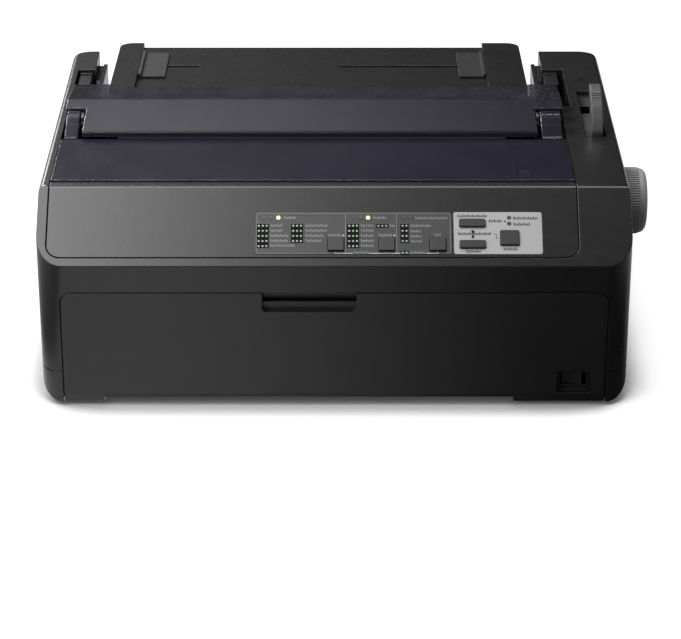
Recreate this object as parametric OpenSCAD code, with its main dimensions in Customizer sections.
// Narrow-carriage dot matrix printer, built as an assembly of separate pieces.
// X runs to the right, Y to the back, Z up. The origin is the bottom centre of the whole.
// Inside the modules, x is measured from the case's centre line, y from its front face
// and z from the table, and at_case() puts each piece in its place.

/* [Case] */
// Width of the case over its side walls
case_w = 391; // [388:1:400]
// Depth of the case from its front face to its rear wall
case_d = 308; // [306:1:314]
// Height of the flat top above the table
case_h = 139.7; // [138:0.1:143]
// Height of the case floor above the table, on its feet
floor_z = 2.5; // [2:0.1:3.5]
// Drop from the flat top to the foot of the control slope
slope_drop = 37.7; // [36:0.1:39]
// Angle at which the control slope rises
slope_angle = 39.3; // [38.5:0.1:40.5]
// Wall of the two case shells
wall = 2.6; // [2.2:0.1:3]
// Height of the seam between the two shells
seam_z = 24.5; // [22:0.5:27]
// Gap at a seam between two outer pieces
seam = 0.5; // [0.3:0.1:0.8]
// Radius of the front corners in plan
front_corner_r = 18; // [14:1:22]
// Radius of the rear corners in plan
rear_corner_r = 14; // [10:1:18]
// Radius of the bottom side edges
bottom_edge_r = 13; // [8:1:16]
// Radius of the top side edges
top_edge_r = 3.4; // [3:0.1:4]
// Radius where the slope turns into the top
brow_r = 5.5; // [4:0.5:8]

/* [Covers] */
// Left edge of the cover opening, from the centre line
cover_x0 = -188.4; // [-188.6:0.1:-186]
// Right edge of the cover opening, from the centre line
cover_x1 = 159.8; // [158:0.1:161]
// Thickness of a smoke cover
cover_t = 2.5; // [2:0.1:3]
// Distance up the slope at which the panel housing starts
panel_s0 = 6.6; // [5:0.2:8]
// Radius of the lower corners of the panel housing
panel_corner_r = 9; // [6:1:12]
// Depth of the housing's rear edge, behind which the window starts
window_y0 = 53; // [52:0.5:55]
// Depth of the window's rear edge
window_y1 = 126.4; // [125:0.2:127]
// Height of the window above the flat top
window_rise = 1.2; // [0.8:0.1:2]
// Depth of the hinge axis of both covers
hinge_y = 158; // [157:0.5:159]
// Height of the hinge axis above the flat top
hinge_rise = 3.3; // [3:0.1:4]
// Radius of the window's hinge barrels
barrel_r = 6; // [5.5:0.1:6.5]
// Radius of the covers' hinge pins
hinge_pin_r = 2.5; // [2:0.1:3]
// Width of the left hinge arm
arm_w_left = 9.2; // [8:0.1:9.4]
// Width of the right hinge arm
arm_w_right = 14; // [12:0.5:15]
// Depth of the raised cover's front edge
raised_y0 = 127.6; // [127.4:0.1:129]
// Depth of the raised cover's ridge
ridge_y = 180; // [176:1:184]
// Depth of the raised cover's rear edge
raised_y1 = 230; // [228:0.5:230]
// Height of the ridge above the flat top
ridge_rise = 10.3; // [9.5:0.1:11]
// Depth of the cut-out for paper in the raised cover's rear edge
paper_cut = 10; // [6:0.5:12]

/* [Front cover] */
// Width of the front cover
front_w = 360; // [350:1:362]
// Height of the front cover's top edge
front_top_z = 82.5; // [80:0.5:84]
// Radius of the front cover's top corners
front_cover_r = 8; // [5:0.5:10]
// Height of the paper cut-out's top edge
front_slot_z = 9; // [8:0.5:9]
// Width of the paper cut-out in the front cover
front_slot_w = 272.5; // [268:0.5:280]
// Depth of the front cover's hinge axis
front_hinge_y = 7; // [6.5:0.1:7.5]
// Height of the front cover's hinge axis
front_hinge_z = 9.2; // [9:0.1:9.5]
// Width of the handle recess
handle_w = 62; // [56:1:70]
// Depth of the handle recess
handle_d = 9; // [8:0.5:10]

/* [Paper] */
// Offset of the paper's centre line from the case's
paper_x = -17; // [-18:0.5:-16]
// Widest cut sheet between the guide's wings
sheet_w = 257; // [250:1:258]
// Distance between the two rows of tractor holes
hole_rows = 228.6; // [225:0.1:229]
// Pitch of the tractor holes
hole_pitch = 12.7; // [12.5:0.1:12.9]

/* [Paper guide] */
// Depth of the guide's front edge
guide_y0 = 233; // [232:0.5:235]
// Length of the guide
guide_len = 117; // [110:1:125]
// Width of the guide
guide_w = 304; // [300:1:306]
// Offset of the guide's centre line from the case's
guide_x = -12; // [-12.5:0.5:-11.5]
// Slope of the guide, down to the rear
guide_tilt = 3; // [2:0.2:4]
// Height of the guide's wings above its panel
wing_h = 3.6; // [3:0.1:5]
// Thickness of the guide's panel
guide_t = 2.5; // [2:0.1:3]
// Depth of the guide's hinge axis
guide_hinge_y = 250; // [248:0.5:252]
// Height of the guide's hinge axis
guide_hinge_z = 122; // [120:0.5:124]
// Height of the rear deck between the horns
deck_z = 104; // [100:0.5:106]
// Depth at which the horns start behind the cover
horn_y = 268; // [264:0.5:272]

/* [Platen] */
// Depth of the platen's axis
platen_y = 127; // [126.5:0.1:127.5]
// Height of the platen's axis
platen_z = 95; // [94:0.1:96]
// Radius of the rubber roller
platen_r = 16.5; // [16:0.1:17]
// Width of the rubber roller
platen_w = 264; // [260:1:266]
// Radius of the platen's shaft
platen_shaft_r = 4; // [3.5:0.1:4.5]
// Radius of the knob
knob_r = 23.2; // [21:0.1:25]
// Reach of the knob past the case's side
knob_reach = 23; // [20:0.5:26]
// Number of ribs round the knob
knob_ribs = 80; // [60:1:90]

/* [Gear train] */
// Module of the gear teeth
tooth_m = 1.25; // [1.2:0.01:1.3]
// Pressure angle of the gear teeth
tooth_angle = 25; // [22:1:26]
// Play between meshing teeth
backlash = 0.3; // [0.2:0.05:0.4]
// Teeth of the platen gear
platen_n = 32; // [30:1:34]
// Teeth of the transfer gear
transfer_n = 52; // [50:1:54]
// Teeth of the tractor gear
tractor_n = 28; // [26:1:30]
// Teeth of the eject gear
eject_n = 14; // [13:1:15]
// Teeth of the feed pinion
pinion_n = 12; // [12:1:14]
// Width of the gear faces
gear_w = 6; // [5:0.5:7]

/* [Carriage] */
// Travel of the carriage
carriage_travel = 220; // [200:1:222]
// Width of the carriage
carriage_w = 40; // [34:1:42]
// Depth of the carriage guide shaft
rod_y = 76; // [75.5:0.1:76.5]
// Height of the carriage guide shaft
rod_z = 84; // [83.5:0.1:85]
// Radius of the carriage guide shaft
rod_r = 4; // [3.5:0.1:4.5]
// Depth of the belt pulleys' axes
belt_y = 56; // [55.5:0.1:56.5]
// Height of the belt's lower edge
belt_z = 86; // [85.5:0.1:86.5]
// Width of the belt
belt_w = 6; // [5:0.5:6]
// Radius of the belt pulleys
pulley_r = 6; // [5.5:0.1:6.3]

/* [Tractors] */
// Depth of the tractor drive shaft
drive_y = 38; // [37.5:0.1:38.5]
// Height of the tractor drive shaft
drive_z = 52; // [51.5:0.1:52.5]
// Distance from the drive shaft forward to the guide shaft
tractor_gap = 20; // [19:0.5:20.5]
// Width across the flats of the square drive shaft
drive_sq = 6; // [5:0.2:6.4]
// Width of a tractor
tractor_w = 18; // [16:0.5:19]
// Number of pins round a sprocket
sprocket_n = 7; // [6:1:7]

/* [Release lever] */
// Height of the lever's pivot
lever_z = 40; // [39:0.5:41]
// Depth of the lever's pivot
lever_y = 178; // [177:0.5:179]
// Centre of the lever across the case
lever_x = 181.4; // [180.6:0.1:181.6]
// Width of the lever
lever_w = 8; // [7:0.5:9]
// Width of the lever's slot
slot_w = 14.4; // [13:0.2:15]

/* [Panel] */
// Width of a square select button
button_w = 10.4; // [9:0.2:11.4]
// Height of a button above the label
button_rise = 1.6; // [1.2:0.1:2]
// Travel of a button
button_travel = 0.8; // [0.5:0.1:0.9]
// Radius of an indicator lens
lens_r = 1.3; // [1:0.1:1.5]
// Thickness of a label
label_t = 0.3; // [0.2:0.05:0.4]
// Depth of the board below the slope
board_n = 12; // [11:0.5:13]

/* [Hidden] */
$fn = 64;

// Colours
charcoal = "#2e2e30";
soft_black = "#232325";
smoke = "#3c3a4a";
knob_grey = "#6a6a6c";
label_grey = "#9a9a9b";
button_grey = "#4a4a4c";
rubber = "#1b1b1c";
steel = "#b4b7ba";
zinc = "#9aa0a4";
nylon = "#d8d5c8";
board_green = "#2f5d3a";

// Clearances
gap = 0.3;        // between a piece and what carries it
run = 0.08;       // round a shaft or a pin
reach = 1;        // how far a cutting solid runs past the face that it cuts

// The whole, from which the origin follows
total_w = case_w + knob_reach;
total_d = guide_y0 + guide_len;
case_x = -knob_reach / 2;
front_y = -total_d / 2;
half_w = case_w / 2;
inner_x = half_w - wall;
floor_top = floor_z + wall;
slope_foot_z = case_h - slope_drop;
slope_len = slope_drop / sin(slope_angle);
hinge_z = case_h + hinge_rise;

module at_case() {
  translate([case_x, front_y, 0]) children();
}

// A box from its low and its high corner
module block(x0, x1, y0, y1, z0, z1) {
  translate([x0, y0, z0]) cube([x1 - x0, y1 - y0, z1 - z0]);
}

// Flat shapes drawn in (y, z), (x, z) or (x, y), and pulled out along X, Y or Z
module along_x(x0, x1) {
  translate([x0, 0, 0]) rotate([90, 0, 90]) linear_extrude(x1 - x0) children();
}
module along_y(y0, y1) {
  translate([0, y1, 0]) rotate([90, 0, 0]) linear_extrude(y1 - y0) children();
}
module along_z(z0, z1) {
  translate([0, 0, z0]) linear_extrude(z1 - z0) children();
}

module rod_x(x0, x1, y, z, r) {
  translate([x0, y, z]) rotate([0, 90, 0]) cylinder(h = x1 - x0, r = r);
}
module rod_z_up(x, y, z0, z1, r) {
  translate([x, y, z0]) cylinder(h = z1 - z0, r = r);
}

// What a round corner leaves out of a square one
module corner_nick(x, y, r, flip_x, flip_y) {
  translate([x, y]) mirror([flip_x, 0]) mirror([0, flip_y]) difference() {
    translate([-reach, -reach]) square(r + reach);
    translate([r, r]) circle(r);
  }
}

// A rectangle whose two lower and two upper corners are round
module plate(x0, x1, y0, y1, r_low, r_high) {
  difference() {
    translate([x0, y0]) square([x1 - x0, y1 - y0]);
    if (r_low > 0) {
      corner_nick(x0, y0, r_low, 0, 0);
      corner_nick(x1, y0, r_low, 1, 0);
    }
    if (r_high > 0) {
      corner_nick(x0, y1, r_high, 0, 1);
      corner_nick(x1, y1, r_high, 1, 1);
    }
  }
}

// Frame of the slope: y runs up the slope, z out of it
module on_slope() {
  translate([0, 0, slope_foot_z]) rotate([slope_angle, 0, 0]) children();
}

function arc(cy, cz, r, a0, a1, n = 6) = [
  for (i = [0:n]) let (a = a0 + (a1 - a0) * i / n) [cy + r * cos(a), cz + r * sin(a)]
];

// Side view of the case, inset by t: front face, slope, brow, flat top and rear wall
function slope_foot(t) = slope_foot_z - t * (1 - sin(slope_angle)) / cos(slope_angle);
brow_y = (brow_r + (slope_drop - brow_r) * cos(slope_angle)) / sin(slope_angle);
function side_outline(t) = concat(
  [[t, floor_z + t], [t, slope_foot(t)]],
  arc(brow_y, case_h - brow_r, brow_r - t, 90 + slope_angle, 90),
  [[case_d - t, case_h - t], [case_d - t, floor_z + t]]
);

module case_solid(t) {
  intersection() {
    along_x(t - half_w, half_w - t) polygon(side_outline(t));
    along_z(0, case_h)
      plate(t - half_w, half_w - t, t, case_d - t, front_corner_r - t, rear_corner_r - t);
    along_y(0, case_d)
      plate(t - half_w, half_w - t, floor_z + t, case_h - t, bottom_edge_r - t,
            max(top_edge_r - t, 0.4));
  }
}

module case_shell(outer, inner) {
  difference() {
    case_solid(outer);
    case_solid(inner);
  }
}

// Rear corners of the well between the horns
well_x0 = -half_w + 18.9;
well_x1 = half_w - 43.2;
lever_wall_x = lever_x - slot_w / 2 - 4.4 - wall;
ledge_z = case_h - 6;

// Positions of what passes the rear wall, and sizes of the cut-outs
port_z = 43;
parallel_x = -110;
parallel_w = 66;
parallel_h = 16;
usb_x = -52;
usb_w = 13;
usb_h = 12;
inlet_x = 118;
inlet_w = 30;
inlet_h = 23;

// The platen's shaft passes the lever's wall and the right side wall
module platen_bore(r) {
  rod_x(lever_wall_x - reach, half_w + reach, platen_y, platen_z, r);
}

// Opening for the front cover, in both shells
module front_opening() {
  along_y(-reach, front_notch_y)
    plate(-front_w / 2 - seam, front_w / 2 + seam, -reach, front_top_z + seam, 0,
          front_cover_r + seam);
}
front_notch_y = front_hinge_y + 9.5;

module port_cut(x, w, h) {
  block(x - w / 2 - gap, x + w / 2 + gap, case_d - 2 * wall, case_d + reach,
        port_z - h / 2 - gap, port_z + h / 2 + gap);
}

// Lower case: tray with a rim, hinge lugs and bosses
boss_r = 5;
base_z = 16;
base_t = 2;
boss_x = [paper_x - 130, paper_x + 128];
boss_y = [72, 174];
front_lug_x = front_w / 2 + seam + 0.6;
front_lug_w = 5.4;
front_pin_r = 2;
board_z = 30;
board_t = 1.6;
board_x0 = -158;
board_x1 = 58;
board_y0 = 200;
board_y1 = case_d - wall - 4;
supply_x0 = 72;
supply_x1 = 160;
supply_z = 14;
supply_y0 = 200;

module post(x, y, z1) {
  rod_z_up(x, y, floor_top - 0.5, z1, boss_r);
}

module lower_case() color(charcoal) at_case() difference() {
  union() {
    intersection() {
      case_shell(0, wall);
      block(-half_w, half_w, 0, case_d, 0, seam_z - seam / 2);
    }
    intersection() {
      case_shell(wall + gap, 2 * wall);
      block(-half_w, half_w, 0, case_d, seam_z - 5, seam_z + 3);
    }
    intersection() {
      case_shell(wall - 0.5, 2 * wall);
      block(-half_w, half_w, 0, case_d, seam_z - 5, seam_z - 2);
    }
    for (x = boss_x, y = boss_y) post(x, y, base_z);
    for (x = [board_x0 + 8, board_x1 - 8], y = [board_y0 + 8, board_y1 - 8]) post(x, y, board_z);
    for (x = [supply_x0 + 8, supply_x1 - 8], y = [supply_y0 + 8, board_y1 - 8]) {
      post(x, y, supply_z);
    }
    intersection() {
      case_solid(wall / 2);
      for (s = [-1, 1]) {
        x = s * (front_lug_x + front_lug_w / 2);
        block(x - front_lug_w / 2, x + front_lug_w / 2, wall, 22, floor_z + 1,
              front_hinge_z + 5);
      }
    }
    block(switch_x - 8, switch_x + 8, 24, 34, floor_top - 0.5, switch_z0 - gap);
  }
  front_opening();
  for (s = [-1, 1]) {
    rod_x(s * (front_lug_x + front_lug_w / 2) - front_lug_w, s * (front_lug_x + front_lug_w / 2)
          + front_lug_w, front_hinge_y, front_hinge_z, front_pin_r + run);
  }
  for (x = boss_x, y = boss_y) rod_z_up(x, y, floor_top, base_z + reach, screw_r + run);
}

// Upper case: the outer shell, its inner walls, the ledges that carry the covers and
// the ears that hold the hinge pins
ear_t = 2.6;
arm_x0 = cover_x0 + 2;
ear_left_x = arm_x0 + arm_w_left + gap;
arm_x1 = cover_x1 - 2.8;
ear_right_x = arm_x1 - arm_w_right - gap - ear_t;
shelf_z = hinge_z - barrel_r - 11;

module cover_opening() {
  x0 = cover_x0 - seam;
  x1 = cover_x1 + seam;
  on_slope() along_z(-4 * wall, 4 * wall)
    plate(x0, x1, panel_s0 - seam, slope_len + 8, panel_corner_r + seam, 0);
  block(x0, x1, brow_y - 4, horn_y, case_h - 2 * wall, case_h + reach);
  block(x1 - reach, lever_wall_x, 193, horn_y, case_h - 2 * wall, case_h + reach);
  block(well_x0, well_x1, raised_y1 + 2, case_d + reach, deck_z, case_h + reach);
}

module hinge_ear(x, wall_x) {
  block(x, x + ear_t, hinge_y - 8, hinge_y + 8, shelf_z, hinge_z);
  rod_x(x, x + ear_t, hinge_y, hinge_z, 5);
  block(min(x, wall_x), max(x + ear_t, wall_x), hinge_y - 8, hinge_y + 8,
        shelf_z - ear_t, shelf_z + 0.2);
}

module upper_case() color(charcoal) at_case() difference() {
  union() {
    difference() {
      intersection() {
        case_shell(0, wall);
        block(-half_w, half_w, 0, case_d, seam_z + seam / 2, case_h);
      }
      cover_opening();
      front_opening();
    }
    intersection() {
      case_solid(wall / 2);
      union() {
        // Wall between the well and the lever, and the horns' inner walls
        block(lever_wall_x, lever_wall_x + wall, 62, horn_y + wall, deck_z - 8, case_h);
        block(well_x0 - wall, well_x0, horn_y, case_d, deck_z - 1, case_h);
        block(well_x1, well_x1 + wall, horn_y, case_d, deck_z - 1, case_h);
        block(-half_w, well_x0, horn_y, horn_y + wall, deck_z - 1, case_h);
        block(well_x1, lever_wall_x + 1, horn_y, horn_y + wall, deck_z - 1, case_h);
        // Deck, and the low walls that carry the paper guide's pins
        block(well_x0 - 1, well_x1 + 1, raised_y1 + 8, case_d, deck_z - wall, deck_z);
        guide_cheek(guide_cheek_x0);
        guide_cheek(guide_cheek_x1);
        // Ledges under the covers' skirts and under the panel housing
        block(-half_w, cover_x0 + 4, 62, raised_y1, ledge_z - gap - wall, ledge_z - gap);
        block(cover_x1 - 4, lever_wall_x + 1, 62, 190, ledge_z - gap - wall, ledge_z - gap);
        on_slope() block(cover_x0 + 12, cover_x1 - 12, 1, panel_s0 + 2.8,
                         -2 * wall - gap, -wall - gap);
        on_slope() block(cover_x0 + 12, cover_x1 - 12, 1, panel_s0 - seam,
                         -wall - gap - 0.5, -wall + 1);
        block(-half_w, arm_x0 + 3, hinge_y - 8, hinge_y + 8, shelf_z - ear_t, shelf_z);
      }
    }
    hinge_ear(ear_left_x, -inner_x);
    hinge_ear(ear_right_x, lever_wall_x);
    rod_x(arm_x0 - 1, ear_left_x + ear_t + gap + 2.4, hinge_y, hinge_z, hinge_pin_r);
    rod_x(ear_right_x - gap - 2.4, arm_x1 + 1, hinge_y, hinge_z, hinge_pin_r);
    // Boss and pin of the release lever
    rod_x(lever_x + lever_w / 2 + gap, half_w - wall / 2, lever_y, lever_z, 9);
    rod_x(lever_x - lever_w / 2 - 2, half_w - wall / 2, lever_y, lever_z, lever_pin_r);
    // Grey blocks that steady an added paper guide
    block(well_x0 - 11, well_x0 - 2, horn_y - 22, horn_y + 1, 120, case_h - 3);
    block(well_x1 + 1, well_x1 + 11, horn_y - 22, horn_y + 1, 120, case_h - 3);
  }
  platen_bore(platen_shaft_r + 4);
  // Slot of the release lever
  along_z(case_h - 2 * wall, case_h + reach)
    plate(lever_x - slot_w / 2, lever_x + slot_w / 2, lever_slot_y0, lever_slot_y1, 2, 2);
  guide_pin_bores();
  port_cut(parallel_x, parallel_w, parallel_h);
  port_cut(usb_x, usb_w, usb_h);
  port_cut(inlet_x, inlet_w, inlet_h);
  // Cooling slots in the rear wall
  for (i = [0:11]) {
    block(-20 + 9 * i, -15 + 9 * i, case_d - 2 * wall, case_d + reach, 62, 88);
  }
}

// Control panel housing: follows the slope, turns over the brow and ends at the window
housing_t = wall;
module control_panel_housing() color(charcoal) at_case() difference() {
  union() {
    intersection() {
      along_x(cover_x0, cover_x1) difference() {
        polygon(side_outline(0));
        polygon(side_outline(housing_t));
      }
      on_slope() along_z(-20, 20)
        plate(cover_x0, cover_x1, panel_s0, slope_len + 12, panel_corner_r, 0);
      block(cover_x0, cover_x1, 0, window_y0 - seam, slope_foot_z, case_h);
    }
    block(cover_x0 + 1, cover_x1 - 1, window_y0 - seam - 2, window_y0 - seam,
          ledge_z - 4, case_h - 1);
    on_slope() for (x = board_posts, y = [board_s0 + 4, board_s1 - 4]) {
      translate([x, y, -board_n]) cylinder(h = board_n - housing_t + 0.5, r = 3);
    }
  }
  on_slope() {
    for (b = buttons) button_hole(b, gap, -housing_t - reach, reach);
    for (p = lenses) translate([p[0], p[1], -housing_t - reach])
      cylinder(h = housing_t + 2 * reach, r = lens_r + run);
  }
}

// Buttons as [x, distance up the slope, width, height]
select_s = 16;
select_x = [1, 34.2, 67.7];
feed_x = 90.5;
buttons = [
  [select_x[0], select_s, button_w, button_w - 0.5],
  [select_x[1], select_s, button_w, button_w - 0.5],
  [select_x[2], select_s, button_w, button_w - 0.5],
  [feed_x, 31.4, 16.7, 5.6],
  [feed_x, 15.8, 16.7, 5.6],
  [114.8, 20.5, 12.1, 10.7]
];
lens_s = 35.6;
lenses = concat(
  [for (i = [0:2]) [-46.3 + 4.75 * i, lens_s]],
  [for (i = [0:2]) [12.4 + 4.85 * i, lens_s]],
  [for (i = [0:1]) [45.7 + 4.6 * i, lens_s]],
  [[114.7, lens_s], [114.7, lens_s - 4.4]]
);
label_s0 = 8.8;
label_s1 = 39.7;
dark_x0 = -51.9;
dark_x1 = 77;
light_x0 = 78.2;
light_x1 = 136.2;
board_s0 = 10;
board_s1 = 46;
board_posts = [dark_x0 + 4, light_x1 - 4];

module button_hole(b, c, z0, z1) {
  along_z(z0, z1) plate(b[0] - b[2] / 2 - c, b[0] + b[2] / 2 + c,
                        b[1] - b[3] / 2 - c, b[1] + b[3] / 2 + c, 0.8, 0.8);
}

module panel_labels() color(label_grey) at_case() on_slope() difference() {
  along_z(0, label_t) {
    plate(dark_x0, dark_x1, label_s0, label_s1, 1.5, 1.5);
    plate(light_x0, light_x1, label_s0, label_s1, 1.5, 1.5);
  }
  for (b = buttons) button_hole(b, gap, -reach, reach);
  for (p = lenses) translate([p[0], p[1], -reach]) cylinder(h = 2 * reach, r = lens_r + run);
}

module indicator_lenses() color("#7c8f4a") at_case() on_slope() {
  for (p = lenses) translate([p[0], p[1], 0]) {
    translate([0, 0, -housing_t - gap]) cylinder(h = housing_t + gap + label_t + 0.3, r = lens_r);
    translate([0, 0, -board_n]) cylinder(h = board_n - housing_t - gap, r = lens_r + 0.5);
  }
}

// A button: cap, flange under the housing and plunger above its switch
module button(b) {
  color(button_grey) at_case() on_slope() {
    button_hole(b, 0, -housing_t - 0.5, label_t + button_rise);
    along_z(-housing_t - gap - 1.2, -housing_t - gap)
      plate(b[0] - b[2] / 2 - 1, b[0] + b[2] / 2 + 1, b[1] - b[3] / 2 - 1, b[1] + b[3] / 2 + 1,
            1, 1);
    translate([b[0], b[1], board_t + switch_h + button_travel + 0.1 - board_n])
      cylinder(h = board_n - board_t - switch_h - button_travel - housing_t - 1, r = 1.6);
  }
}
switch_h = 3;
module select_button_left() button(buttons[0]);
module select_button_middle() button(buttons[1]);
module select_button_right() button(buttons[2]);
module feed_button_upper() button(buttons[3]);
module feed_button_lower() button(buttons[4]);
module pause_button() button(buttons[5]);

module panel_board() color(board_green) at_case() on_slope() {
  block(dark_x0, light_x1, board_s0, board_s1, -board_n - board_t, -board_n);
  for (b = buttons) {
    block(b[0] - 3, b[0] + 3, b[1] - 3, b[1] + 3, -board_n - 0.1, board_t + switch_h - board_n);
  }
}

// Printer cover: window, front lip, skirts and two arms that end in hinge barrels
window_z = case_h + window_rise;
module cover_arm(x0, w) {
  along_x(x0, x0 + w) polygon([
    [window_y1 - 10, window_z - cover_t - 1.5], [window_y1 - 10, window_z - 0.5],
    [window_y1, window_z - 0.5], [window_y1 + 3, window_z + 1], [hinge_y - 7, hinge_z + 4.4],
    [hinge_y, hinge_z + 5], [hinge_y, hinge_z - 5], [window_y1 + 4, window_z - cover_t - 1.5]
  ]);
  rod_x(x0, x0 + w, hinge_y, hinge_z, barrel_r);
}

module printer_cover() color(smoke) at_case() difference() {
  union() {
    block(cover_x0, cover_x1, window_y0, window_y1, window_z - cover_t, window_z);
    block(cover_x0, cover_x1, window_y0, window_y0 + cover_t, ledge_z, window_z - 1);
    block(cover_x0, cover_x0 + 2, window_y0, window_y1, ledge_z, window_z - 1);
    block(cover_x1 - 2, cover_x1, window_y0, window_y1, ledge_z, window_z - 1);
    cover_arm(arm_x0, arm_w_left);
    cover_arm(arm_x1 - arm_w_right, arm_w_right);
  }
  rod_x(cover_x0, cover_x1, hinge_y, hinge_z, hinge_pin_r + run);
}

// Paper guide cover: rises to a ridge, falls to the rear, notched round the arms
ridge_z = case_h + ridge_rise;
raised_front_z = case_h + 6.3;
raised_rear_z = case_h + 2.8;
notch_y = hinge_y + barrel_r + 1.2;
hanger_x0 = ear_left_x + ear_t + gap;
hanger_x1 = ear_right_x - gap;
hanger_w = 2.4;
cut_x0 = -158.8;
cut_x1 = 138.7;
module raised_profile() {
  polygon([
    [raised_y0, raised_front_z - 4.4], [raised_y0, raised_front_z - 0.6],
    [raised_y0 + 1.2, raised_front_z], [ridge_y, ridge_z], [raised_y1, raised_rear_z],
    [raised_y1, raised_rear_z - cover_t], [ridge_y, ridge_z - cover_t],
    [raised_y0 + cover_t, raised_front_z - cover_t], [raised_y0 + cover_t, raised_front_z - 4.4]
  ]);
}
module skirt(x0) {
  along_x(x0, x0 + 2) polygon([
    [notch_y, ledge_z], [notch_y, ridge_z - 3], [ridge_y, ridge_z - 1],
    [raised_y1, raised_rear_z - 1], [raised_y1, ledge_z]
  ]);
}

module paper_guide_cover() color(smoke) at_case() difference() {
  union() {
    along_x(cover_x0, cover_x1) raised_profile();
    skirt(cover_x0);
    skirt(cover_x1 - 2);
    for (x = [hanger_x0, hanger_x1 - hanger_w]) {
      block(x, x + hanger_w, hinge_y - 5, hinge_y + 5, hinge_z, raised_front_z + 1);
      rod_x(x, x + hanger_w, hinge_y, hinge_z, 5);
    }
  }
  block(cover_x0 - reach, hanger_x0, raised_y0 - reach, notch_y, shelf_z, ridge_z + reach);
  block(hanger_x1, cover_x1 + reach, raised_y0 - reach, notch_y, shelf_z, ridge_z + reach);
  along_z(120, ridge_z)
    plate(cut_x0, cut_x1, raised_y1 - paper_cut, raised_y1 + 3 * reach, 5, 0);
  rod_x(hanger_x0 - reach, hanger_x1 + reach, hinge_y, hinge_z, hinge_pin_r + run);
}

// Front cover: face with a chamfered foot, handle recess, paper cut-out, switch window,
// and two ears whose pins turn in the lower case
switch_inset = 21.3;
switch_x = front_w / 2 - switch_inset;
switch_w = 20;
switch_z0 = 10.2;
switch_h_out = 14.6;
handle_x = -16.4;
handle_z0 = 69;
front_ear_x = front_w / 2 - 4;
module front_cover() color(charcoal) at_case() difference() {
  union() {
    intersection() {
      along_y(0, wall + 2) difference() {
        plate(-front_w / 2, front_w / 2, floor_z, front_top_z, 1.5, front_cover_r);
        translate([paper_x - front_slot_w / 2, 0]) square([front_slot_w, front_slot_z]);
      }
      difference() {
        case_solid(0);
        case_solid(wall);
      }
      block(-half_w, half_w, 0, wall + 2, 0, case_h);
    }
    along_y(1, handle_d + 2)
      plate(handle_x - handle_w / 2 - 2, handle_x + handle_w / 2 + 2, handle_z0 - 2,
            front_top_z, 4, 0);
    for (s = [-1, 1]) {
      x = s * front_ear_x;
      block(x - 2.4, x + 2.4, 1, front_hinge_y, front_hinge_z - 3.4, front_hinge_z + 8);
      rod_x(x - 2.4, x + 2.4, front_hinge_y, front_hinge_z, 3.4);
      rod_x(s > 0 ? x : -front_lug_x - front_lug_w, s > 0 ? front_lug_x + front_lug_w : x,
            front_hinge_y, front_hinge_z, front_pin_r);
    }
  }
  // Chamfered foot
  along_x(-half_w, half_w)
    polygon([[-reach, front_slot_z + 2 * reach], [-reach, -reach], [2.1, -reach],
             [1.6, floor_z], [0, front_slot_z]]);
  // Handle recess: deep at the top, with a step below it
  along_y(-reach, handle_d / 2)
    plate(handle_x - handle_w / 2, handle_x + handle_w / 2, handle_z0, front_top_z + reach,
          3, 0);
  block(handle_x - handle_w / 2, handle_x + handle_w / 2, 0, handle_d, handle_z0 + 6,
        front_top_z + reach);
  block(switch_x - switch_w / 2 - seam, switch_x + switch_w / 2 + seam, -reach, wall + reach,
        switch_z0 - seam, switch_z0 + switch_h_out + seam);
}

// Power switch: housing behind the front cover's window, and a rocker that tips sideways
rocker_x = switch_x - 1;
rocker_y = 8;
rocker_z0 = switch_z0 + 4.2;
rocker_h = 9.2;
rocker_half = 7;
switch_y0 = 1.6;
module power_switch_housing() color(soft_black) at_case() difference() {
  union() {
    block(switch_x - switch_w / 2, switch_x + switch_w / 2, switch_y0, 26, switch_z0,
          switch_z0 + switch_h_out);
    block(switch_x - 8, switch_x + 8, 24, 34, switch_z0, switch_z0 + 5);
  }
  block(rocker_x - rocker_half - 0.5, switch_x + switch_w / 2 - 1.2, -reach, 20,
        rocker_z0 - 0.5, rocker_z0 + rocker_h + 0.4);
  block(switch_x - switch_w / 2 + 0.8, switch_x + switch_w / 2 - 0.8, -reach, 4.5,
        switch_z0 + 1, rocker_z0 + rocker_h + 0.4);
  rod_z_up(rocker_x, rocker_y, switch_z0 + 1.6, rocker_z0 + rocker_h + 1.2, 1.5 + run);
}

module power_rocker() color(soft_black) at_case() {
  along_z(rocker_z0, rocker_z0 + rocker_h) translate([rocker_x, rocker_y])
    polygon([[-rocker_half + 0.6, -2.4], [0, -2.9], [rocker_half - 0.3, -5.5],
             [rocker_half - 0.3, 1], [2, 4], [-2, 4], [-rocker_half + 0.6, 1.6]]);
  rod_z_up(rocker_x, rocker_y, rocker_z0 - 1.6, rocker_z0 + rocker_h + 1, 1.5);
}

// Feet and screws
foot_r = 9;
screw_r = 1.5;
screw_head_r = 3;
foot_x = half_w - bottom_edge_r - foot_r - 8;
foot_y = [40, case_d - 38];
module rubber_feet() color(rubber) at_case() {
  for (x = [-foot_x, foot_x], y = foot_y) rod_z_up(x, y, 0, floor_z, foot_r);
}

module screws() color(zinc) at_case() {
  for (x = boss_x, y = boss_y) {
    rod_z_up(x, y, base_z + base_t, base_z + base_t + 2, screw_head_r);
    rod_z_up(x, y, base_z - 8, base_z + base_t + 1, screw_r);
  }
}

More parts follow.
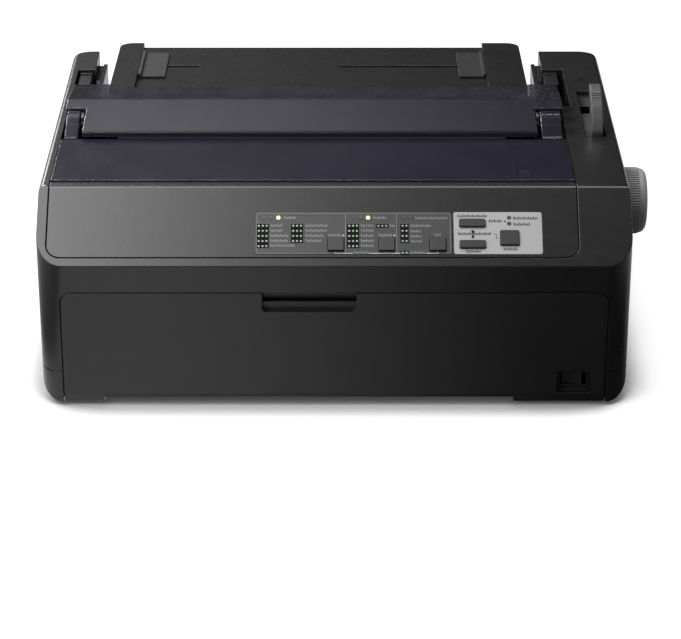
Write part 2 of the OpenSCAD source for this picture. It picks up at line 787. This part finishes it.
// Base plate with a lip that steadies the carriage, and the two side frames
frame_x0 = paper_x - 143;
frame_x1 = paper_x + 143;
frame_t = 2;
frame_y1 = 186;
frame_top = 108;
lip_y = 62;
module base_plate() color(zinc) at_case() difference() {
  union() {
    block(frame_x0 + frame_t / 2, frame_x1 - frame_t / 2, lip_y + 1, frame_y1 - 2, base_z,
          base_z + base_t);
    for (s = [0, 1]) {
      x = s ? frame_x1 - frame_t / 2 - 2 : frame_x0 + frame_t / 2;
      block(x, x + 2, lip_y + 1, frame_y1 - 2, base_z, base_z + 12);
    }
    block(frame_x0 + 8, frame_x1 - 8, lip_y + 1, lip_y + 3, base_z, base_z + 8);
  }
  for (x = boss_x, y = boss_y) rod_z_up(x, y, base_z - reach, base_z + base_t + reach,
                                        screw_r + run);
}

module frame_outline() {
  polygon([[11, 40], [11, 62], [44, 68], [44, 80], [66, 80], [70, frame_top],
           [176, frame_top], [frame_y1, 90], [frame_y1, base_z], [56, base_z]]);
}
module frame_bore(x, y, z, r) {
  rod_x(x - 2 * frame_t, x + 2 * frame_t, y, z, r + run);
}
module frame_bores(x) {
  frame_bore(x, platen_y, platen_z, platen_shaft_r);
  frame_bore(x, rod_y, rod_z, rod_r);
  frame_bore(x, drive_y, drive_z, drive_r);
  frame_bore(x, guide_shaft_y, guide_shaft_z, guide_shaft_r);
  frame_bore(x, eject_y, eject_z, eject_shaft_r);
}

module side_frame_left() color(zinc) at_case() {
  difference() {
    along_x(frame_x0 - frame_t / 2, frame_x0 + frame_t / 2) frame_outline();
    frame_bores(frame_x0);
  }
  rod_x(frame_x0 - frame_t / 2 - 6, frame_x0, thick_y, thick_z, thick_pin_r);
  // Bracket of the carriage motor
  difference() {
    block(motor_x - motor_r, frame_x0, belt_y - 9, belt_y + 9, motor_top, motor_top + 1.6);
    rod_z_up(motor_x, belt_y, motor_top - reach, motor_top + 2 * reach, 4);
  }
  block(frame_x0 - frame_t / 2, frame_x0 + frame_t / 2, belt_y - 9, belt_y + 9, 60,
        motor_top + 1.6);
}

module side_frame_right() color(zinc) at_case() {
  difference() {
    along_x(frame_x1 - frame_t / 2, frame_x1 + frame_t / 2) frame_outline();
    frame_bores(frame_x1);
  }
  rod_x(frame_x1, gear_x0 + gear_w + 1, transfer_y, transfer_z, stub_r);
  for (p = motor_posts) rod_x(frame_x1, feed_motor_x, p[0], p[1], 2.5);
  // Bracket and pin of the idler pulley
  block(idler_x - 4, frame_x1, belt_y - 4, belt_y + 4, belt_z - 5, belt_z - 5 + frame_t);
  block(frame_x1 - frame_t / 2, frame_x1 + frame_t / 2, belt_y - 9, belt_y + 9, 60,
        belt_z - 5 + frame_t);
  rod_z_up(idler_x, belt_y, belt_z - 4, belt_z + belt_w + 1.4, 2);
}

// Carriage with its bush, belt clamp and foot, and the print head on top
rod_end = frame_t / 2 + 0.6;
carriage_x = paper_x - carriage_travel / 2;
module carriage_guide_shaft() color(steel) at_case() {
  rod_x(frame_x0 - rod_end, frame_x1 + rod_end, rod_y, rod_z, rod_r);
}

belt_t = 1.2;
belt_gap = 0.2;
belt_inner = pulley_r + belt_gap;
strand_y = belt_y + belt_inner;
module carriage() color("#38393b") at_case() difference() {
  union() {
    block(carriage_x - carriage_w / 2, carriage_x + carriage_w / 2, rod_y - 10, rod_y + 12,
          rod_z - 5.6, rod_z + 7.6);
    block(carriage_x - carriage_w / 2, carriage_x + carriage_w / 2, rod_y - 4, head_y1,
          rod_z + 4.6, rod_z + 7.6);
    block(carriage_x - 5, carriage_x + 5, strand_y - 1.8, rod_y - 9, belt_z - 1.4,
          rod_z + 7.6);
  }
  rod_x(carriage_x - carriage_w, carriage_x + carriage_w, rod_y, rod_z, rod_r + run);
  block(carriage_x - 6, carriage_x + 6, strand_y - gap, strand_y + belt_t + gap,
        belt_z - gap, rod_z + 9);
}

head_y1 = platen_y - platen_r - 12;
head_z0 = rod_z + 7.6;
nose_y = platen_y - platen_r - 2.2;
head_fins = 5;
module print_head() color("#8a8d90") at_case() difference() {
  union() {
    block(carriage_x - 15, carriage_x + 15, rod_y - 4, head_y1, head_z0, head_z0 + 15);
    along_z(platen_z - 1, platen_z + 6) polygon([
      [carriage_x - 11, head_y1 - 1], [carriage_x + 11, head_y1 - 1],
      [carriage_x + 4, nose_y], [carriage_x - 4, nose_y]
    ]);
  }
  for (i = [0:head_fins - 1]) {
    block(carriage_x - 12.6 + 5.4 * i, carriage_x - 9.2 + 5.4 * i, rod_y - 4 - reach,
          head_y1 - 6, head_z0 + 4, head_z0 + 16);
  }
}

// Ribbon cartridge: box over the carriage, arms down to the platen, ribbon between them
ribbon_half = 139;
ribbon_z0 = 110.5;
ribbon_z1 = 126;
ribbon_y0 = 58;
ribbon_y1 = 86;
ribbon_knob_x = paper_x - 112;
tab_root = 4;
tab_over = 1;
module ribbon_arm(x0) {
  along_x(x0, x0 + 5) polygon([
    [ribbon_y1 - 6, ribbon_z0], [ribbon_y1 - 6, ribbon_z1], [ribbon_y1 + 8, ribbon_z1],
    [nose_y + 3, ribbon_z0], [nose_y + 3, platen_z - 8], [nose_y - 6, platen_z - 8],
    [nose_y - 8, ribbon_z0 - 6], [ribbon_y1, ribbon_z0]
  ]);
}
module ribbon_cartridge() color("#2a2a2e") at_case() {
  difference() {
    along_z(ribbon_z0, ribbon_z1)
      plate(paper_x - ribbon_half, paper_x + ribbon_half, ribbon_y0, ribbon_y1, 4, 4);
    rod_z_up(ribbon_knob_x, 72, ribbon_z1 - 8, ribbon_z1 + reach, 3 + run);
  }
  for (s = [0, 1]) {
    ribbon_arm(s ? paper_x + ribbon_half - 5 : paper_x - ribbon_half);
    x0 = s ? paper_x + ribbon_half - tab_root : frame_x0 - tab_over;
    x1 = s ? frame_x1 + tab_over : paper_x - ribbon_half + tab_root;
    block(x0, x1, 70 + gap, 82, frame_top + gap, ribbon_z0 + 3);
  }
  block(paper_x - ribbon_half + 4, paper_x + ribbon_half - 4, nose_y + gap, nose_y + 2 * gap,
        platen_z - 7, platen_z + 7);
}

module ribbon_knob() color("#55565a") at_case() {
  rod_z_up(ribbon_knob_x, 72, ribbon_z1 - 7, ribbon_z1 + gap + 1, 3);
  along_z(ribbon_z1 + gap, ribbon_z1 + gap + 5) translate([ribbon_knob_x, 72]) difference() {
    circle(8.5);
    for (a = [0:30:330]) rotate(a) translate([9, 0]) circle(1.2);
  }
}

// Carriage drive: motor outside the left frame, belt, and two pulleys
motor_x = -half_w + wall + 15.6;
motor_r = 14.4;
motor_top = belt_z - 4;
motor_h = 38;
idler_x = paper_x + carriage_travel / 2 + 19;
module carriage_motor() color("#4c4e52") at_case() {
  rod_z_up(motor_x, belt_y, motor_top - motor_h, motor_top, motor_r);
  rod_z_up(motor_x, belt_y, motor_top - reach, belt_z + belt_w + 1, 1.5);
}

module pulley(x, bore_r) {
  difference() {
    union() {
      rod_z_up(x, belt_y, belt_z - gap, belt_z + belt_w + gap, pulley_r);
      rod_z_up(x, belt_y, belt_z - 1.4, belt_z - gap, pulley_r + 1.6);
    }
    rod_z_up(x, belt_y, belt_z - 2 * reach, belt_z + belt_w + 2 * reach, bore_r);
  }
}
module motor_pulley() color(zinc) at_case() pulley(motor_x, 1.5 + run);
module idler_pulley() color(nylon) at_case() pulley(idler_x, 2 + run);

module belt_loop(r) {
  translate([motor_x, belt_y]) circle(r);
  translate([idler_x, belt_y]) circle(r);
  translate([motor_x, belt_y - r]) square([idler_x - motor_x, 2 * r]);
}
module timing_belt() color(rubber) at_case() along_z(belt_z, belt_z + belt_w) difference() {
  belt_loop(belt_inner + belt_t);
  belt_loop(belt_inner);
}

// Gear teeth: involute flanks above the base circle, radial below it
function involute(a) = tan(a) * 180 / PI - a;
function flank(n, r) =
  let (rb = tooth_m * n / 2 * cos(tooth_angle), rp = tooth_m * n / 2)
  90 / n - backlash / rp * 45 / PI + involute(tooth_angle)
  - (r > rb ? involute(acos(rb / r)) : 0);
function gear_points(n) =
  let (rp = tooth_m * n / 2, rb = rp * cos(tooth_angle), ra = rp + 0.9 * tooth_m,
       rr = rp - 1.25 * tooth_m, r0 = max(rb, rr) + 0.01, steps = [0, 0.3, 0.65, 1])
  [for (i = [0:n - 1]) let (c = 360 * i / n) each concat(
    [[rr * cos(c - flank(n, r0)), rr * sin(c - flank(n, r0))]],
    [for (k = steps) let (r = r0 + (ra - r0) * k, a = c - flank(n, r)) [r * cos(a), r * sin(a)]],
    [for (k = steps) let (r = ra + (r0 - ra) * k, a = c + flank(n, r)) [r * cos(a), r * sin(a)]],
    [[rr * cos(c + flank(n, r0)), rr * sin(c + flank(n, r0))]]
  )];
// Turn that sets a tooth of gear 2 in the gap of gear 1, with phi from gear 1 to gear 2
function mesh_turn(phi, n1, turn1, n2) =
  let (p = 360 / n1, d = (phi - turn1) - p * round((phi - turn1) / p))
  phi + 180 + d * n1 / n2 + 180 / n2;

gear_x0 = frame_x1 + frame_t / 2 + 2;
module gear(n, y, z, turn, hole_r) {
  along_x(gear_x0, gear_x0 + gear_w) translate([y, z]) difference() {
    rotate(turn) polygon(gear_points(n));
    circle(hole_r);
  }
}

// Gear centres: the transfer gear sits where it meets both the platen and tractor gears
stub_r = 3;
reach_p = tooth_m * (platen_n + transfer_n) / 2;
reach_t = tooth_m * (tractor_n + transfer_n) / 2;
span_y = drive_y - platen_y;
span_z = drive_z - platen_z;
span = sqrt(span_y * span_y + span_z * span_z);
along_span = (reach_p * reach_p - reach_t * reach_t + span * span) / (2 * span);
off_span = sqrt(reach_p * reach_p - along_span * along_span);
transfer_y = platen_y + (along_span * span_y - off_span * span_z) / span;
transfer_z = platen_z + (along_span * span_z + off_span * span_y) / span;
transfer_phi = atan2(transfer_z - platen_z, transfer_y - platen_y);
tractor_phi = atan2(drive_z - transfer_z, drive_y - transfer_y);
transfer_turn = mesh_turn(transfer_phi, platen_n, 0, transfer_n);
tractor_turn = mesh_turn(tractor_phi, transfer_n, transfer_turn, tractor_n);
eject_phi = 15;
eject_y = platen_y + tooth_m * (platen_n + eject_n) / 2 * cos(eject_phi);
eject_z = platen_z + tooth_m * (platen_n + eject_n) / 2 * sin(eject_phi);
pinion_phi = -50;
pinion_y = platen_y + tooth_m * (platen_n + pinion_n) / 2 * cos(pinion_phi);
pinion_z = platen_z + tooth_m * (platen_n + pinion_n) / 2 * sin(pinion_phi);

// Platen: rubber roller on a shaft that reaches the knob outside the case
knob_gap = 0.8;
module platen() color(rubber) at_case() {
  rod_x(paper_x - platen_w / 2, paper_x + platen_w / 2, platen_y, platen_z, platen_r);
  rod_x(frame_x0 - rod_end, half_w + knob_reach - 8, platen_y, platen_z, platen_shaft_r);
}
module platen_gear() color(nylon) at_case() {
  gear(platen_n, platen_y, platen_z, 0, platen_shaft_r);
}
module knob_rim(r) {
  polygon([for (i = [0:2 * knob_ribs - 1]) let (a = 180 * i / knob_ribs, q = r - 0.7 * (i % 2))
           [q * cos(a), q * sin(a)]]);
}
module platen_knob() color(knob_grey) at_case() difference() {
  intersection() {
    along_x(half_w + knob_gap, half_w + knob_reach) translate([platen_y, platen_z])
      knob_rim(knob_r);
    translate([half_w, platen_y, platen_z]) rotate([0, 90, 0]) rotate_extrude() polygon(concat(
      [[0, 0], [knob_r + reach, 0]],
      arc(knob_r - 5, knob_reach - 5, 5, 0, 90),
      [[0, knob_reach]]
    ));
  }
  rod_x(half_w, half_w + knob_reach - 8, platen_y, platen_z, platen_shaft_r);
}

// Feed motor on two posts outside the right frame, and its pinion
feed_motor_x = gear_x0 + gear_w + 2;
feed_motor_r = 14;
motor_posts = [[pinion_y + 18, pinion_z + 9], [pinion_y + 6, pinion_z - 19]];
module feed_motor() color("#4c4e52") at_case() {
  rod_x(feed_motor_x, feed_motor_x + 26, pinion_y, pinion_z, feed_motor_r);
  along_x(feed_motor_x, feed_motor_x + 2) {
    for (p = motor_posts) translate(p) circle(4.5);
    polygon([motor_posts[0] + [2, 4], motor_posts[1] + [4, -2], [pinion_y - 8, pinion_z - 10],
             [pinion_y - 4, pinion_z + 10]]);
  }
  rod_x(gear_x0, feed_motor_x + reach, pinion_y, pinion_z, 2);
}
module feed_pinion() color(steel) at_case() {
  gear(pinion_n, pinion_y, pinion_z, mesh_turn(pinion_phi, platen_n, 0, pinion_n), 2 + run);
}
module transfer_gear() color(nylon) at_case() {
  gear(transfer_n, transfer_y, transfer_z, transfer_turn, stub_r + run);
}

// Eject roller: shaft with rubber rings, and its gear
eject_shaft_r = 3;
eject_r = 5.2;
module eject_roller() color(rubber) at_case() {
  rod_x(frame_x0 - rod_end, gear_x0 + gear_w, eject_y, eject_z, eject_shaft_r);
  for (i = [-3:3]) {
    rod_x(paper_x + 38 * i - 7, paper_x + 38 * i + 7, eject_y, eject_z, eject_r);
  }
  gear(eject_n, eject_y, eject_z, mesh_turn(eject_phi, platen_n, 0, eject_n), 0.01);
}

// Tractors: square drive shaft with its gear, round guide shaft, two pin-feed units
drive_r = drive_sq * 0.55;
guide_shaft_y = drive_y - tractor_gap;
guide_shaft_z = drive_z - 2;
guide_shaft_r = 3;
module tractor_drive_shaft() color(steel) at_case() {
  rod_x(frame_x0 - rod_end, frame_x0 + 4, drive_y, drive_z, drive_r);
  rod_x(frame_x1 - 4, gear_x0 + gear_w, drive_y, drive_z, drive_r);
  block(frame_x0 + 3, frame_x1 - 3, drive_y - drive_sq / 2, drive_y + drive_sq / 2,
        drive_z - drive_sq / 2, drive_z + drive_sq / 2);
  gear(tractor_n, drive_y, drive_z, tractor_turn, 0.01);
}
module tractor_guide_shaft() color(steel) at_case() {
  rod_x(frame_x0 - rod_end, frame_x1 + rod_end, guide_shaft_y, guide_shaft_z, guide_shaft_r);
}

tractor_x0 = paper_x - hole_rows / 2;
tractor_x1 = paper_x + hole_rows / 2;
sprocket_r = sprocket_n * hole_pitch / (2 * PI);
sprocket_w = 7;
pin_out = 2.4;
hub_r = drive_sq * 0.71 + 2;
flap_z = drive_z + sprocket_r + pin_out + 1.2;
flap_pin_r = 1.2;
flap_w = 15;
flap_y0 = guide_shaft_y - 5;
flap_y1 = drive_y + 6;
module tractor(x, out) {
  difference() {
    union() {
      for (s = [-1, 1]) {
        a = x + s * (tractor_w / 2 - 1.2);
        along_x(a - 1.2, a + 1.2)
          plate(guide_shaft_y - 7, drive_y + 11, drive_z - 10, drive_z + 11, 6, 6);
      }
      block(x - tractor_w / 2, x + tractor_w / 2, guide_shaft_y - 7, guide_shaft_y - 4.4,
            drive_z - 4, drive_z + 5);
      // Ears of the paper flap on the outer side
      for (y = [flap_y0, flap_y1 - 3]) {
        block(x + out * tractor_w / 2 - 1.8, x + out * tractor_w / 2 + 1.8, y, y + 3,
              drive_z + 4, flap_z);
        translate([x + out * tractor_w / 2, y + 3, flap_z]) rotate([90, 0, 0])
          cylinder(h = 3, r = 1.8);
      }
      translate([x + out * tractor_w / 2, flap_y1, flap_z]) rotate([90, 0, 0])
        cylinder(h = flap_y1 - flap_y0, r = flap_pin_r);
    }
    rod_x(x - tractor_w, x + tractor_w, drive_y, drive_z, hub_r + run);
    rod_x(x - tractor_w, x + tractor_w, guide_shaft_y, guide_shaft_z, guide_shaft_r + run);
  }
}
module tractor_left() color("#505154") at_case() tractor(tractor_x0, -1);
module tractor_right() color("#505154") at_case() tractor(tractor_x1, 1);

module sprocket(x) {
  difference() {
    union() {
      rod_x(x - sprocket_w / 2, x + sprocket_w / 2, drive_y, drive_z, sprocket_r);
      rod_x(x - tractor_w / 2, x + tractor_w / 2, drive_y, drive_z, hub_r);
      translate([x, drive_y, drive_z]) for (i = [0:sprocket_n - 1]) {
        rotate([360 * i / sprocket_n, 0, 0]) {
          translate([0, 0, sprocket_r - 2]) cylinder(h = 3, r = 1.9);
          translate([0, 0, sprocket_r + 0.9]) cylinder(h = pin_out - 0.9, r1 = 1.9, r2 = 1.1);
        }
      }
    }
    block(x - tractor_w, x + tractor_w, drive_y - drive_sq / 2 - run,
          drive_y + drive_sq / 2 + run, drive_z - drive_sq / 2 - run,
          drive_z + drive_sq / 2 + run);
  }
}
module sprocket_left() color(nylon) at_case() sprocket(tractor_x0);
module sprocket_right() color(nylon) at_case() sprocket(tractor_x1);

module tractor_flap(x, out) {
  hinge_x = x + out * tractor_w / 2;
  edge_x = hinge_x - out * flap_w;
  difference() {
    union() {
      block(min(hinge_x, edge_x), max(hinge_x, edge_x), flap_y0, flap_y1, flap_z - 0.4,
            flap_z + 1.6);
      translate([hinge_x, flap_y1 - 3 - gap, flap_z]) rotate([90, 0, 0])
        cylinder(h = flap_y1 - flap_y0 - 6 - 2 * gap, r = 2.2);
    }
    for (y = [flap_y0 - gap, flap_y1 - 3 - gap]) {
      block(hinge_x - 2.3, hinge_x + 2.3, y, y + 3 + 2 * gap, flap_z - 3, flap_z + 3);
    }
    translate([hinge_x, flap_y1 + reach, flap_z]) rotate([90, 0, 0])
      cylinder(h = flap_y1 - flap_y0 + 2 * reach, r = flap_pin_r + run);
  }
}
module tractor_flap_left() color("#505154") at_case() tractor_flap(tractor_x0, -1);
module tractor_flap_right() color("#505154") at_case() tractor_flap(tractor_x1, 1);

// Paper chutes between the frames, each a bent sheet of plastic
chute_x0 = frame_x0 + frame_t / 2;
chute_x1 = frame_x1 - frame_t / 2;
chute_r = platen_r + 3;
front_chute_outline = [[-63, -29], [-27, -25], [-18, -18], [-16, -9.6], [-17.4, -9.2],
                       [-19.4, -17], [-27.6, -23.2], [-63, -27]];
module front_paper_chute() color(soft_black) at_case() {
  along_x(chute_x0, chute_x1) translate([platen_y, platen_z]) polygon(front_chute_outline);
}
module rear_paper_chute() color(soft_black) at_case() {
  along_x(chute_x0, chute_x1) polygon(concat(
    arc(platen_y, platen_z, chute_r, 262, 300),
    [[frame_y1 - 6, 88], [raised_y1 + 7, deck_z - 2], [raised_y1 + 7.7, deck_z - 3.8],
     [frame_y1 - 5.4, 86]],
    arc(platen_y, platen_z, chute_r + 1.6, 300, 262)
  ));
}

// Lever that sets the head gap, on a stub pin of the left frame
thick_y = 100;
thick_z = 84;
thick_pin_r = 2.5;
module thickness_lever() color("#3f6fa8") at_case() difference() {
  x0 = frame_x0 - frame_t / 2 - 0.4 - 4;
  union() {
    rod_x(x0, x0 + 4, thick_y, thick_z, 6);
    along_x(x0, x0 + 4) polygon([[thick_y - 4, thick_z], [thick_y - 6, 122],
                                 [thick_y - 2, 127], [thick_y + 2, 122], [thick_y + 4, thick_z]]);
  }
  rod_x(x0 - reach, x0 + 4 + reach, thick_y, thick_z, thick_pin_r + run);
}

// Paper release lever: hub, arm to the slot, handle bent back, and a curved dust shield
lever_pin_r = 4;
lever_slot_y0 = 134;
lever_slot_y1 = 223;
lever_reach = case_h - lever_z;
lever_base = lever_slot_y0 + 5.8 - lever_y;
lever_lean = atan(-lever_base / lever_reach);
shield_r = lever_reach - 2 * wall - 3;
shield_a0 = 68;
shield_a1 = 91 + lever_lean;
handle_outline = [[-5.4, 0], [-4.6, 5], [0.2, 12], [7, 19.5], [16, 25.2], [26, 27.3],
                  [28.6, 24], [24, 18], [16, 11], [9.6, 3], [5.2, -3]];
module release_lever() color(knob_grey) at_case() difference() {
  union() {
    rod_x(lever_x - lever_w / 2, lever_x + lever_w / 2, lever_y, lever_z, 8);
    along_x(lever_x - lever_w / 2, lever_x + lever_w / 2) translate([lever_y, lever_z])
      polygon(concat([[-7, 3]], [for (p = handle_outline) p + [lever_base, lever_reach]],
                     [[7, 3]]));
    along_x(lever_x - lever_w / 2 - 2, lever_x + lever_w / 2 + 2) polygon(concat(
      arc(lever_y, lever_z, shield_r + 1.6, shield_a0, shield_a1, 12),
      arc(lever_y, lever_z, shield_r, shield_a1, shield_a0, 12)
    ));
  }
  rod_x(lever_x - lever_w, lever_x + lever_w, lever_y, lever_z, lever_pin_r + run);
}

// Paper guide: panel with two wings, hinge ears and ribs, tilted a little to the rear
guide_cheek_x0 = guide_x - guide_w / 2 - 9.5;
guide_cheek_x1 = guide_x + guide_w / 2 + 6.5;
cheek_t = 3;
guide_pin_r = 2.5;
guide_top_z = guide_hinge_z + 11;
wing_x0 = paper_x - sheet_w / 2 - 0.5;
wing_x1 = paper_x + sheet_w / 2 + 0.5;
module guide_cheek(x) {
  block(x, x + cheek_t, raised_y1 + 6, case_d - 4, deck_z - 1, 131);
}
module guide_pin_bores() {
  rod_x(guide_cheek_x0 - reach, guide_cheek_x1 + cheek_t + reach, guide_hinge_y, guide_hinge_z,
        guide_pin_r + run);
}
// Frame of the guide: origin at its hinge, turned down by its tilt
module on_guide() {
  translate([0, guide_hinge_y, guide_hinge_z]) rotate([-guide_tilt, 0, 0])
    translate([0, -guide_hinge_y, -guide_hinge_z]) children();
}
guide_x0 = guide_x - guide_w / 2;
guide_x1 = guide_x + guide_w / 2;
guide_end = guide_hinge_y + (total_d - guide_hinge_y - (guide_top_z + wing_h - guide_hinge_z)
            * sin(guide_tilt)) / cos(guide_tilt);
fence_slot_y = guide_hinge_y + 50;
guide_left_travel = 30;
guide_right_travel = 95;

module paper_guide() color(charcoal) at_case() difference() {
  union() {
    on_guide() {
      along_z(guide_top_z - guide_t, guide_top_z) plate(guide_x0, guide_x1, guide_y0, guide_end,
                                                        2, 10);
      intersection() {
        along_z(guide_top_z - guide_t, guide_top_z + wing_h)
          plate(guide_x0, guide_x1, guide_y0, guide_end, 2, 10);
        union() {
          block(guide_x0, wing_x0, guide_y0, guide_end, guide_top_z - 1, guide_top_z + wing_h);
          block(wing_x1, guide_x1, guide_y0, guide_end, guide_top_z - 1, guide_top_z + wing_h);
        }
      }
      for (i = [-5:5]) block(paper_x + 22 * i - 0.8, paper_x + 22 * i + 0.8, guide_y0 + 6,
                             guide_end - 8, guide_top_z - guide_t - 2.4, guide_top_z - 1);
    }
    for (s = [0, 1]) {
      x = s ? guide_x1 - 4 : guide_x0;
      block(x, x + 4, guide_hinge_y - 5, guide_hinge_y + 5, guide_hinge_z, guide_top_z - 1.5);
      rod_x(x, x + 4, guide_hinge_y, guide_hinge_z, 5);
      rod_x(s ? x : guide_cheek_x0, s ? guide_cheek_x1 + cheek_t : x + 4, guide_hinge_y,
            guide_hinge_z, guide_pin_r);
    }
  }
  on_guide() {
    block(wing_x0 + 6, wing_x0 + 6 + guide_left_travel + 8, fence_slot_y - 2.4,
          fence_slot_y + 2.4, guide_top_z - 8, guide_top_z + reach);
    block(wing_x1 - 6 - guide_right_travel - 8, wing_x1 - 6, fence_slot_y - 2.4,
          fence_slot_y + 2.4, guide_top_z - 8, guide_top_z + reach);
  }
}

// Edge guide: fence on a foot, with a tongue through the panel's slot
module edge_guide(x, s) {
  color(soft_black) at_case() on_guide() {
    block(min(x, x + s * 20), max(x, x + s * 20), fence_slot_y - 30, fence_slot_y + 30,
          guide_top_z + gap, guide_top_z + gap + 1.4);
    block(min(x, x + s * 2.4), max(x, x + s * 2.4), fence_slot_y - 30, fence_slot_y + 30,
          guide_top_z + gap, guide_top_z + wing_h);
    block(min(x + s * 8, x + s * 12), max(x + s * 8, x + s * 12), fence_slot_y - 1.8,
          fence_slot_y + 1.8, guide_top_z - guide_t - 3.4, guide_top_z + 1);
    block(min(x + s * 6, x + s * 14), max(x + s * 6, x + s * 14), fence_slot_y - 4,
          fence_slot_y + 4, guide_top_z - guide_t - 4.4, guide_top_z - guide_t - 2.7);
  }
}
module edge_guide_left() edge_guide(wing_x0 + gap, 1);
module edge_guide_right() edge_guide(wing_x1 - gap, -1);

// Electronics in the tray, and what passes the rear wall
module main_board() color(board_green) at_case() {
  block(board_x0, board_x1, board_y0, board_y1, board_z, board_z + board_t);
  for (i = [0:3]) {
    block(board_x0 + 24 + 44 * i, board_x0 + 50 + 44 * i, board_y0 + 14, board_y0 + 40,
          board_z + board_t - 0.1, board_z + board_t + 3);
  }
  for (i = [0:4]) rod_z_up(board_x0 + 30 + 34 * i, board_y1 - 39.4, board_z + 1,
                           board_z + board_t + 14, 5);
}

module power_supply() color("#8d7a3a") at_case() {
  block(supply_x0, supply_x1, supply_y0, board_y1, supply_z, supply_z + board_t);
  block(supply_x0 + 8, supply_x0 + 46, supply_y0 + 8, supply_y0 + 42, supply_z + 1,
        supply_z + 34);
  block(supply_x1 - 12, supply_x1 - 9, supply_y0 + 6, board_y1 - 30, supply_z + 1,
        supply_z + 40);
  for (i = [0:2]) rod_z_up(supply_x0 + 14 + 22 * i, board_y1 - 34, supply_z + 1,
                           supply_z + 24, 8);
}

port_y = case_d - 0.6;
clip_x = 29.5;
clip_y = port_y - 2;
clip_leg = 12;
clip_z = parallel_h / 2 - 1;
wire_r = 0.8;
module parallel_port() color("#26272b") at_case() difference() {
  union() {
    block(parallel_x - parallel_w / 2, parallel_x + parallel_w / 2, board_y1 - 12, port_y,
          port_z - parallel_h / 2, port_z + parallel_h / 2);
    block(parallel_x - 30, parallel_x + 30, board_y1 - 12, board_y1 - 2, board_z + board_t,
          port_z);
  }
  along_y(board_y1 - 4, port_y + reach)
    plate(parallel_x - 25, parallel_x + 25, port_z - 5, port_z + 5, 1.5, 1.5);
  for (s = [-1, 1], e = [-1, 1]) {
    x = parallel_x + s * clip_x;
    z = port_z + e * (clip_z + 1);
    block(x - 3.3, x + 3.3, clip_y - 2, port_y + reach, z - 3, z + 3);
  }
  for (s = [-1, 1]) {
    rod_z_up(parallel_x + s * clip_x, clip_y, port_z - parallel_h, port_z + parallel_h,
             wire_r + run);
  }
}
// Wire clip: a bail whose back bar turns in the port, and whose front bar grips the plug
module wire_clip(s) {
  color(steel) at_case() translate([parallel_x + s * clip_x, clip_y, port_z]) {
    translate([0, 0, -clip_z - wire_r]) cylinder(h = 2 * (clip_z + wire_r), r = wire_r);
    for (e = [-1, 1]) {
      translate([-0.6, 0, e * clip_z - 0.6]) cube([1.2, clip_leg, 1.2]);
    }
    translate([0, clip_leg, -clip_z - wire_r]) cylinder(h = 2 * (clip_z + wire_r), r = wire_r);
  }
}
module wire_clip_left() wire_clip(-1);
module wire_clip_right() wire_clip(1);

module usb_port() color(steel) at_case() difference() {
  union() {
    block(usb_x - usb_w / 2, usb_x + usb_w / 2, board_y1 - 12, port_y, port_z - usb_h / 2,
          port_z + usb_h / 2);
    block(usb_x - usb_w / 2, usb_x + usb_w / 2, board_y1 - 12, board_y1 - 4, board_z + board_t,
          port_z);
  }
  along_y(board_y1 - 6, port_y + reach) difference() {
    plate(usb_x - 4.4, usb_x + 4.4, port_z - 4, port_z + 4, 0, 1.4);
    translate([usb_x - 2.8, port_z - 1.6]) square([5.6, 3.2]);
  }
}

inlet_pin_y = case_d - 6;
module mains_inlet() color(soft_black) at_case() difference() {
  block(inlet_x - inlet_w / 2, inlet_x + inlet_w / 2, case_d - 22, port_y,
        port_z - inlet_h / 2, port_z + inlet_h / 2);
  along_y(inlet_pin_y, port_y + reach)
    plate(inlet_x - 12, inlet_x + 12, port_z - 8, port_z + 8, 5, 0);
  along_y(case_d - 18, inlet_pin_y + reach) difference() {
    plate(inlet_x - 12, inlet_x + 12, port_z - 8, port_z + 8, 5, 0);
    for (p = [[-7, -2], [7, -2], [0, 2.4]]) {
      translate([inlet_x + p[0] - 1, port_z + p[1] - 2]) square([2, 4]);
    }
  }
}

lower_case();
upper_case();
control_panel_housing();
panel_labels();
indicator_lenses();
select_button_left();
select_button_middle();
select_button_right();
feed_button_upper();
feed_button_lower();
pause_button();
panel_board();
printer_cover();
paper_guide_cover();
front_cover();
power_switch_housing();
power_rocker();
rubber_feet();
screws();
base_plate();
side_frame_left();
side_frame_right();
carriage_guide_shaft();
carriage();
print_head();
ribbon_cartridge();
ribbon_knob();
carriage_motor();
motor_pulley();
idler_pulley();
timing_belt();
platen();
platen_gear();
platen_knob();
feed_motor();
feed_pinion();
transfer_gear();
eject_roller();
tractor_drive_shaft();
tractor_guide_shaft();
tractor_left();
tractor_right();
sprocket_left();
sprocket_right();
tractor_flap_left();
tractor_flap_right();
front_paper_chute();
rear_paper_chute();
thickness_lever();
release_lever();
paper_guide();
edge_guide_left();
edge_guide_right();
main_board();
power_supply();
parallel_port();
wire_clip_left();
wire_clip_right();
usb_port();
mains_inlet();
